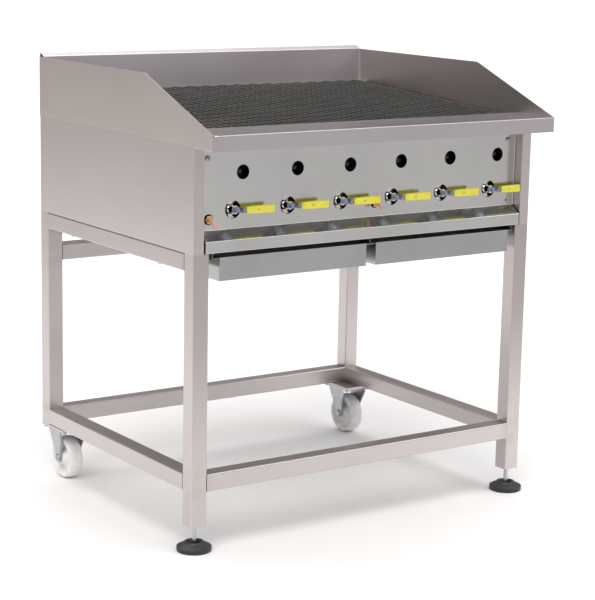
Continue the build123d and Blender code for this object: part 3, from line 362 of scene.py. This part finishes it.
def loft(rings):
    """Vertices and faces of a skin over rings of equal length, with both ends closed."""
    count = len(rings[0])
    vertices = [v for ring in rings for v in ring]
    faces = []
    for i in range(len(rings) - 1):
        for j in range(count):
            k = (j + 1) % count
            faces.append((i * count + j, i * count + k, (i + 1) * count + k, (i + 1) * count + j))
    faces.append(tuple(range(count)))
    last = (len(rings) - 1) * count
    faces.append(tuple(last + j for j in range(count)))
    return vertices, faces


STRAND_STEP_X, STRAND_STEP_Y = 0.022, 0.011  # from bend to bend, and from strand to strand
STRAND_WIDTH, STRAND_THICK, STRAND_TILT = 0.0040, 0.0022, radians(-38)
STRAND_INSET = 0.72  # share of the width by which a strand's zigzag stays short of its row
BOND_HALF = 0.0042  # half the straight part where two strands join
GRATE_THICK = 0.003
GRATE_MARGIN_X = 0.001  # free at each side
GRATE_MARGIN_Y = 0.004  # free at front and rear together
STRAND_EDGE = 0.0004


def expanded_metal(name, material):
    """Raised expanded metal: zigzag strands, tilted like shingles and joined at their bends."""
    low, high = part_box("grate")
    rise = (high.z - low.z - GRATE_THICK) / (high.y - low.y)
    section = []
    for a, b in ((-1, -1), (1, -1), (1, 1), (-1, 1)):
        p, q = a * STRAND_WIDTH / 2, b * STRAND_THICK / 2
        section.append((
            p * cos(STRAND_TILT) - q * sin(STRAND_TILT),
            p * sin(STRAND_TILT) + q * cos(STRAND_TILT),
        ))
    drop = min(q for _, q in section)
    half = high.x - GRATE_MARGIN_X
    rows = int((high.y - low.y - GRATE_MARGIN_Y) / STRAND_STEP_Y)
    start = (low.y + high.y) / 2 - rows * STRAND_STEP_Y / 2
    count = int(half / STRAND_STEP_X)
    vertices, faces = [], []
    for row in range(rows):
        middle = start + (row + 0.5) * STRAND_STEP_Y
        path = [(-half, None)]
        for k in range(-count, count + 1):
            side = 1 if (k + row) % 2 else -1
            for offset in (-BOND_HALF, BOND_HALF):
                x = k * STRAND_STEP_X + offset
                if abs(x) < half:
                    path.append((x, side))
        path.append((half, None))
        rings = []
        for x, side in path:
            if side is None:
                near = path[1] if x < 0 else path[-2]
                slope = min(abs(x - near[0]) / (STRAND_STEP_X - 2 * BOND_HALF), 1.0)
                side = near[1] * (1 - 2 * slope)
            y = middle + side * (STRAND_STEP_Y - STRAND_WIDTH * STRAND_INSET) / 2
            z = low.z + (y - low.y) * rise - drop
            rings.append([(x, y + p, z + q) for p, q in section])
        v, f = loft(rings)
        base = len(vertices)
        vertices += v
        faces += [tuple(base + i for i in face) for face in f]
    piece = new_piece(name, vertices, faces, material, smooth=False)
    bevel = piece.modifiers.new("soft_edges", "BEVEL")
    bevel.width = STRAND_EDGE
    bevel.segments = 1
    bevel.limit_method = "ANGLE"
    return piece


def oval(count, half_y, half_z, power):
    """Points of a squared-off ring: power 1 is an ellipse, smaller is squarer."""
    points = []
    for i in range(count):
        a = 2 * pi * i / count
        c, s = cos(a), sin(a)
        points.append((
            half_y * abs(c) ** power * (1 if c >= 0 else -1),
            half_z * abs(s) ** power * (1 if s >= 0 else -1),
        ))
    return points


SLEEVE_POINTS = 32
SLEEVE_SQUARENESS = 0.36  # a power for oval


def sleeve(index, material):
    """Dipped sleeve over the flat of a lever: narrow at the neck, full along the grip."""
    node = f"lever_sleeve_{index}"
    low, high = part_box(node)
    mid_y, mid_z = (low.y + high.y) / 2, (low.z + high.z) / 2
    half_y, half_z, length = (high.y - low.y) / 2, (high.z - low.z) / 2, high.x - low.x
    rings = []
    # distance from the neck, then the share of the half depth and of the half height
    profile = (
        (0.0000, 0.62, 0.66), (0.0003, 0.76, 0.80), (0.0012, 0.82, 0.86), (0.0100, 0.84, 0.88),
        (0.0180, 0.90, 0.93), (0.0260, 0.96, 0.96), (length * 0.60, 0.98, 0.98),
        (length - 0.0040, 1.0, 1.0), (length - 0.0016, 0.98, 0.985),
        (length - 0.0006, 0.93, 0.95), (length, 0.78, 0.86),
    )
    for along, wide_y, wide_z in profile:
        ring = oval(SLEEVE_POINTS, half_y * wide_y, half_z * wide_z, SLEEVE_SQUARENESS)
        rings.append([(low.x + along, mid_y + y, mid_z + z) for y, z in ring])
    vertices, faces = loft(rings)
    piece = new_piece(f"grip_{index}", vertices, faces, material)
    smooth = piece.modifiers.new("smooth_skin", "SUBSURF")
    smooth.levels = smooth.render_levels = 2
    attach(piece, f"lever_{index}")
    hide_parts(node)


WHEEL_SEGMENTS = 96


def turned(name, profile, centre, material):
    """Ring-shaped piece turned about an axis along X from (radius, along) points."""
    rings = []
    for radius, along in profile:
        ring = []
        for i in range(WHEEL_SEGMENTS):
            a = 2 * pi * i / WHEEL_SEGMENTS
            point = (along, cos(a) * radius, sin(a) * radius)
            ring.append(Vector(point) + Vector(centre))
        rings.append(ring)
    count = len(rings)
    vertices = [v for ring in rings for v in ring]
    faces = []
    for i in range(count):
        n = (i + 1) % count
        for j in range(WHEEL_SEGMENTS):
            k = (j + 1) % WHEEL_SEGMENTS
            near, far = i * WHEEL_SEGMENTS, n * WHEEL_SEGMENTS
            faces.append((near + j, near + k, far + k, far + j))
    return new_piece(name, vertices, faces, material)


def castor_wheel(side, material):
    """Nylon wheel: crowned tread, dished web and a hub boss with a stepped end."""
    node = f"castor_{side}_wheel"
    low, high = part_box(node)
    centre = [(a + b) / 2 for a, b in zip(low, high)]
    radius = (high.z - low.z) / 2
    half_hub = (high.x - low.x) / 2
    # radius and distance from the middle, from the bore out to the tread
    outer = [
        (0.00615, half_hub), (0.0125, half_hub),
        (0.0140, half_hub - 0.0012), (0.0155, half_hub - 0.0062),
        (0.0190, 0.0082), (0.0225, 0.0064), (0.0320, 0.0062), (0.0348, 0.0078), (0.0366, 0.0128),
        (0.0378, 0.0160), (0.0396, 0.0171), (0.0425, 0.0175), (0.0448, 0.0174), (0.0470, 0.0160),
        (0.0487, 0.0132), (0.0496, 0.0090), (radius, 0.0030),
    ]
    profile = outer + [(r, -x) for r, x in reversed(outer)]
    wheel = turned(f"wheel_{side}", profile, centre, material)
    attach(wheel, f"castor_{side}")
    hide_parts(node)


KEY_BEND = 0.026  # from the key's tip back to its bend


def pilot_key(side, stem_look, grip_look):
    """Drooping pilot key: a brass stem with a collar, and a soft sleeve pushed over it."""
    node = f"pilot_key_{side}"
    low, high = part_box(node)
    x = (low.x + high.x) / 2
    radius = (high.x - low.x) / 2
    top = high.z - radius
    bend_y = low.y + KEY_BEND
    # each point of a path: its place, then the radius there
    path = [
        (Vector((x, high.y, top)), 0.0030),
        (Vector((x, bend_y + 0.006, top)), 0.0030),
        (Vector((x, bend_y + 0.005, top)), 0.0026),
        (Vector((x, bend_y + 0.001, top)), 0.0026),
        (Vector((x, bend_y - 0.003, top - 0.0012)), 0.0024),
        (Vector((x, bend_y - 0.007, top - 0.0032)), 0.0023),
        (Vector((x, low.y + 0.004, low.z + 0.0050)), 0.0023),
    ]
    stem = tube(f"pilot_stem_{side}", path, stem_look)
    grip = [
        (Vector((x, bend_y - 0.0036, top - 0.0015)), 0.0030),
        (Vector((x, bend_y - 0.0040, top - 0.0017)), 0.0035),
        (Vector((x, bend_y - 0.0090, top - 0.0041)), 0.0036),
        (Vector((x, low.y + 0.0070, low.z + 0.0059)), 0.0036),
        (Vector((x, low.y + 0.0030, low.z + 0.0041)), 0.0034),
        (Vector((x, low.y + 0.0018, low.z + 0.0035)), 0.0026),
    ]
    cover = tube(f"pilot_grip_{side}", grip, grip_look)
    for piece, slot_name in ((stem, "brass"), (cover, "pink_sleeve")):
        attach(piece, f"pilot_{side}")
    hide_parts(node)


TUBE_POINTS = 20


def tube(name, path, material):
    """Round skin along a path of (point, radius)."""
    angles = [2 * pi * j / TUBE_POINTS for j in range(TUBE_POINTS)]
    rings = []
    for i, (point, radius) in enumerate(path):
        ahead = path[min(i + 1, len(path) - 1)][0] - path[max(i - 1, 0)][0]
        turn = ahead.normalized().to_track_quat("Z", "X")
        rings.append([
            point + turn @ Vector((cos(a) * radius, sin(a) * radius, 0)) for a in angles
        ])
    vertices, faces = loft(rings)
    piece = new_piece(name, vertices, faces, material)
    smooth = piece.modifiers.new("smooth_skin", "SUBSURF")
    smooth.levels = smooth.render_levels = 1
    return piece


# ---- materials on the carried-over nodes ------------------------------------------------------
STAND_TONE = (0.60, 0.565, 0.555)
BODY_TONE = (0.69, 0.65, 0.64)
rail_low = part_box("rail_lower_front")
rail_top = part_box("rail_upper_rear")
leg_joints = (rail_low[0].z, rail_low[1].z)
rear_joints = (*leg_joints, rail_top[0].z, rail_top[1].z)
ends_x = (rail_low[0].x, rail_low[1].x)
rail_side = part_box("rail_lower_left")
ends_y = (rail_side[0].y, rail_side[1].y)

steel = {
    "leg_front": brushed("leg_front_steel", "Z", STAND_TONE, joints=leg_joints),
    "leg_rear": brushed("leg_rear_steel", "Z", STAND_TONE, joints=rear_joints),
    "across": brushed("cross_rail_steel", "X", STAND_TONE, joints=ends_x, joint_axis="X"),
    "depth": brushed("side_rail_steel", "Y", STAND_TONE, joints=ends_y, joint_axis="Y"),
    "side": brushed("side_sheet_steel", "Y", BODY_TONE, rough=0.34),
    "splash": brushed("splash_steel", "Y", (0.74, 0.69, 0.675), rough=0.32),
    "deck": brushed("deck_steel", "X", (0.62, 0.595, 0.61), rough=0.25),
    "back": brushed("back_splash_steel", "X", (0.84, 0.80, 0.83), rough=0.40),
    "inner": brushed("inner_sheet_steel", "X", (0.30, 0.28, 0.265), rough=0.42),
}
panel_steel = galvanised("panel_sheet", (0.64, 0.655, 0.64), "X", 0.19)
tray_steel = galvanised("tray_sheet", (0.50, 0.52, 0.515), "X", 0.20)
# the grate's light edge tone is partly a painted highlight on its strands
grate_iron = scaled_iron("grate_scale", (0.018, 0.019, 0.018), 0.36, worn_and_highlight=(0.14, 0.14, 0.135))
burner_iron = scaled_iron("burner_scale", (0.022, 0.020, 0.019), 0.62, worn_and_highlight=(0.06, 0.055, 0.05))
pipe_iron = scaled_iron("pipe_scale", (0.045, 0.046, 0.050), 0.48)
zinc = plated("zinc_plate", (0.50, 0.51, 0.54), 0.30)
lever_zinc = plated(
    "lever_zinc_plate", (0.36, 0.42, 0.50), 0.30, cloud=0.18, stain=(0.30, 0.27, 0.25)
)
nickel = plated("nickel_plate", (0.80, 0.77, 0.72), 0.14, stain=(0.62, 0.48, 0.30))
brass = plated("drawn_brass", (0.80, 0.58, 0.26), 0.22, stain=(0.45, 0.28, 0.12))
yellow = vinyl("yellow_dip", (0.86, 0.80, 0.07), (0.42, 0.14, 0.06))
pink = moulded("pink_tube", (0.80, 0.38, 0.40), 0.36, dusty=0.05)
rubber = moulded(
    "foot_rubber", (0.018, 0.018, 0.021), 0.42, dust=(0.16, 0.15, 0.17), dusty=0.16
)
nylon = moulded(
    "wheel_nylon", (0.86, 0.86, 0.85), 0.38, dust=(0.52, 0.48, 0.42), dusty=0.10, grain=500.0
)

LOOKS = {
    steel["leg_front"]: ("leg_front_left", "leg_front_right"),
    steel["leg_rear"]: ("leg_rear_left", "leg_rear_right", "corner_plates"),
    steel["across"]: ("rail_lower_front", "rail_lower_rear", "rail_upper_rear"),
    steel["depth"]: ("rail_lower_left", "rail_lower_right", "rail_upper_left", "rail_upper_right"),
    steel["side"]: ("side_left", "side_right"),
    steel["splash"]: ("splash_left", "splash_right"),
    steel["deck"]: ("deck_front",),
    steel["back"]: ("splash_back",),
    steel["inner"]: ("firebox_front", "body_back", "tray_runners", "grate_rests"),
    panel_steel: ("control_panel",),
    tray_steel: ("tray_left", "tray_right"),
    burner_iron: ("burners", "cross_angles", "baffles"),
    pipe_iron: ("manifold", "supply_pipe", "manifold_clips", "gas_risers"),
    zinc: (
        "castor_brackets", "castor_axles", "frame_bolts", "panel_screws", "foot_nuts",
        "foot_left_stud", "foot_right_stud",
    ),
    lever_zinc: tuple(f"lever_{i}" for i in LEVERS),
    nickel: ("valve_bodies",),
    brass: ("pilot_taps",),
    rubber: ("foot_left_pad", "foot_right_pad"),
}
for look, names in LOOKS.items():
    for node_name in names:
        node_mesh = NODES[node_name].data
        node_mesh.materials.clear()
        node_mesh.materials.append(look)

# soft folded edges that catch the light
FOLD_EDGE = 0.0005
FOLD_ANGLE = radians(50)
FOLDED = (
    "control_panel", "deck_front", "splash_left", "splash_right", "side_left",
    "tray_left", "tray_right",
)
for node_name in FOLDED:
    edge = NODES[node_name].modifiers.new("folded_edges", "BEVEL")
    edge.width = FOLD_EDGE
    edge.segments = 2
    edge.limit_method = "ANGLE"
    edge.angle_limit = FOLD_ANGLE

# ---- finer pieces -----------------------------------------------------------------------------
grate_mesh = expanded_metal("grate_mesh", grate_iron)
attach(grate_mesh, "grate")
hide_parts("grate")
for number in LEVERS:
    sleeve(number, yellow)
for side_name in ("left", "right"):
    castor_wheel(side_name, nylon)
for side_name in ("left", "middle"):
    pilot_key(side_name, brass, pink)

# ---- floor, light and camera ------------------------------------------------------------------
ground = bpy.data.meshes.new("studio_floor")
around = ((-1, -1), (1, -1), (1, 1), (-1, 1))
corners = [(x * FLOOR_REACH, y * FLOOR_REACH, 0) for x, y in around]
ground.from_pydata(corners, [], [(0, 1, 2, 3)])
ground.materials.append(pale_floor())
floor = bpy.data.objects.new("studio_floor", ground)
bpy.context.scene.collection.objects.link(floor)


def broad_sun(name, place, strength, spread, tone):
    """Even light from one side of the sky, as wide as a large diffuser."""
    data = bpy.data.lights.new(name, "SUN")
    data.energy = strength
    data.angle = radians(spread)
    data.color = tone
    lamp = bpy.data.objects.new(name, data)
    lamp.location = place
    lamp.rotation_euler = Vector(place).to_track_quat("Z", "Y").to_euler()
    bpy.context.scene.collection.objects.link(lamp)


broad_sun("key_left", (-2.6, -2.2, 4.2), 2.1, 50, (1.0, 0.99, 0.98))
broad_sun("fill_right", (2.4, -2.6, 3.6), 1.2, 60, (0.98, 0.99, 1.0))
broad_sun("top_back", (0.4, 2.0, 4.6), 1.2, 50, (1.0, 1.0, 1.0))

world = bpy.data.worlds.new("soft_room")
world.use_nodes = True
tree = world.node_tree
back = tree.nodes["Background"]
direction = tree.nodes.new("ShaderNodeTexCoord")
height = tree.nodes.new("ShaderNodeSeparateXYZ")
tree.links.new(direction.outputs["Generated"], height.inputs[0])
sky = tree.nodes.new("ShaderNodeValToRGB")
tree.links.new(height.outputs["Z"], sky.inputs["Fac"])
# dull at the horizon and below it, brighter overhead
stops = sky.color_ramp.elements
stops[0].position, stops[0].color = 0.0, (0.15, 0.13, 0.125, 1)
stops[1].position, stops[1].color = 1.0, (0.36, 0.35, 0.35, 1)
middle = stops.new(0.35)
middle.color = (0.30, 0.275, 0.27, 1)
tree.links.new(sky.outputs["Color"], back.inputs["Color"])
back.inputs["Strength"].default_value = 1.0
bpy.context.scene.world = world

# the camera that was solved on the photo's straight edges
CAMERA_PLACE = (-2.4228, -3.5657, 1.3125)
SENSOR_MM, LENS_MM = 36.0, 113.26
turn, tip, roll = radians(34.52), radians(11.364), radians(1.137)
forward = Vector((sin(turn) * cos(tip), cos(turn) * cos(tip), -sin(tip)))
right = Vector((cos(turn), -sin(turn), 0))
up = right.cross(forward)
rolled_right = right * cos(roll) + up * sin(roll)
rolled_up = up * cos(roll) - right * sin(roll)
camera = bpy.data.objects.new("camera", bpy.data.cameras.new("camera"))
camera.data.sensor_width = SENSOR_MM
camera.data.lens = LENS_MM
camera.data.clip_start, camera.data.clip_end = 0.1, 200.0
rotation = Matrix((rolled_right, rolled_up, -forward)).transposed()
camera.matrix_world = Matrix.Translation(CAMERA_PLACE) @ rotation.to_4x4()
bpy.context.scene.collection.objects.link(camera)
bpy.context.scene.camera = camera
bpy.context.scene.view_settings.view_transform = "Standard"

# ---- last update ------------------------------------------------------------------------------
bpy.context.view_layer.update()
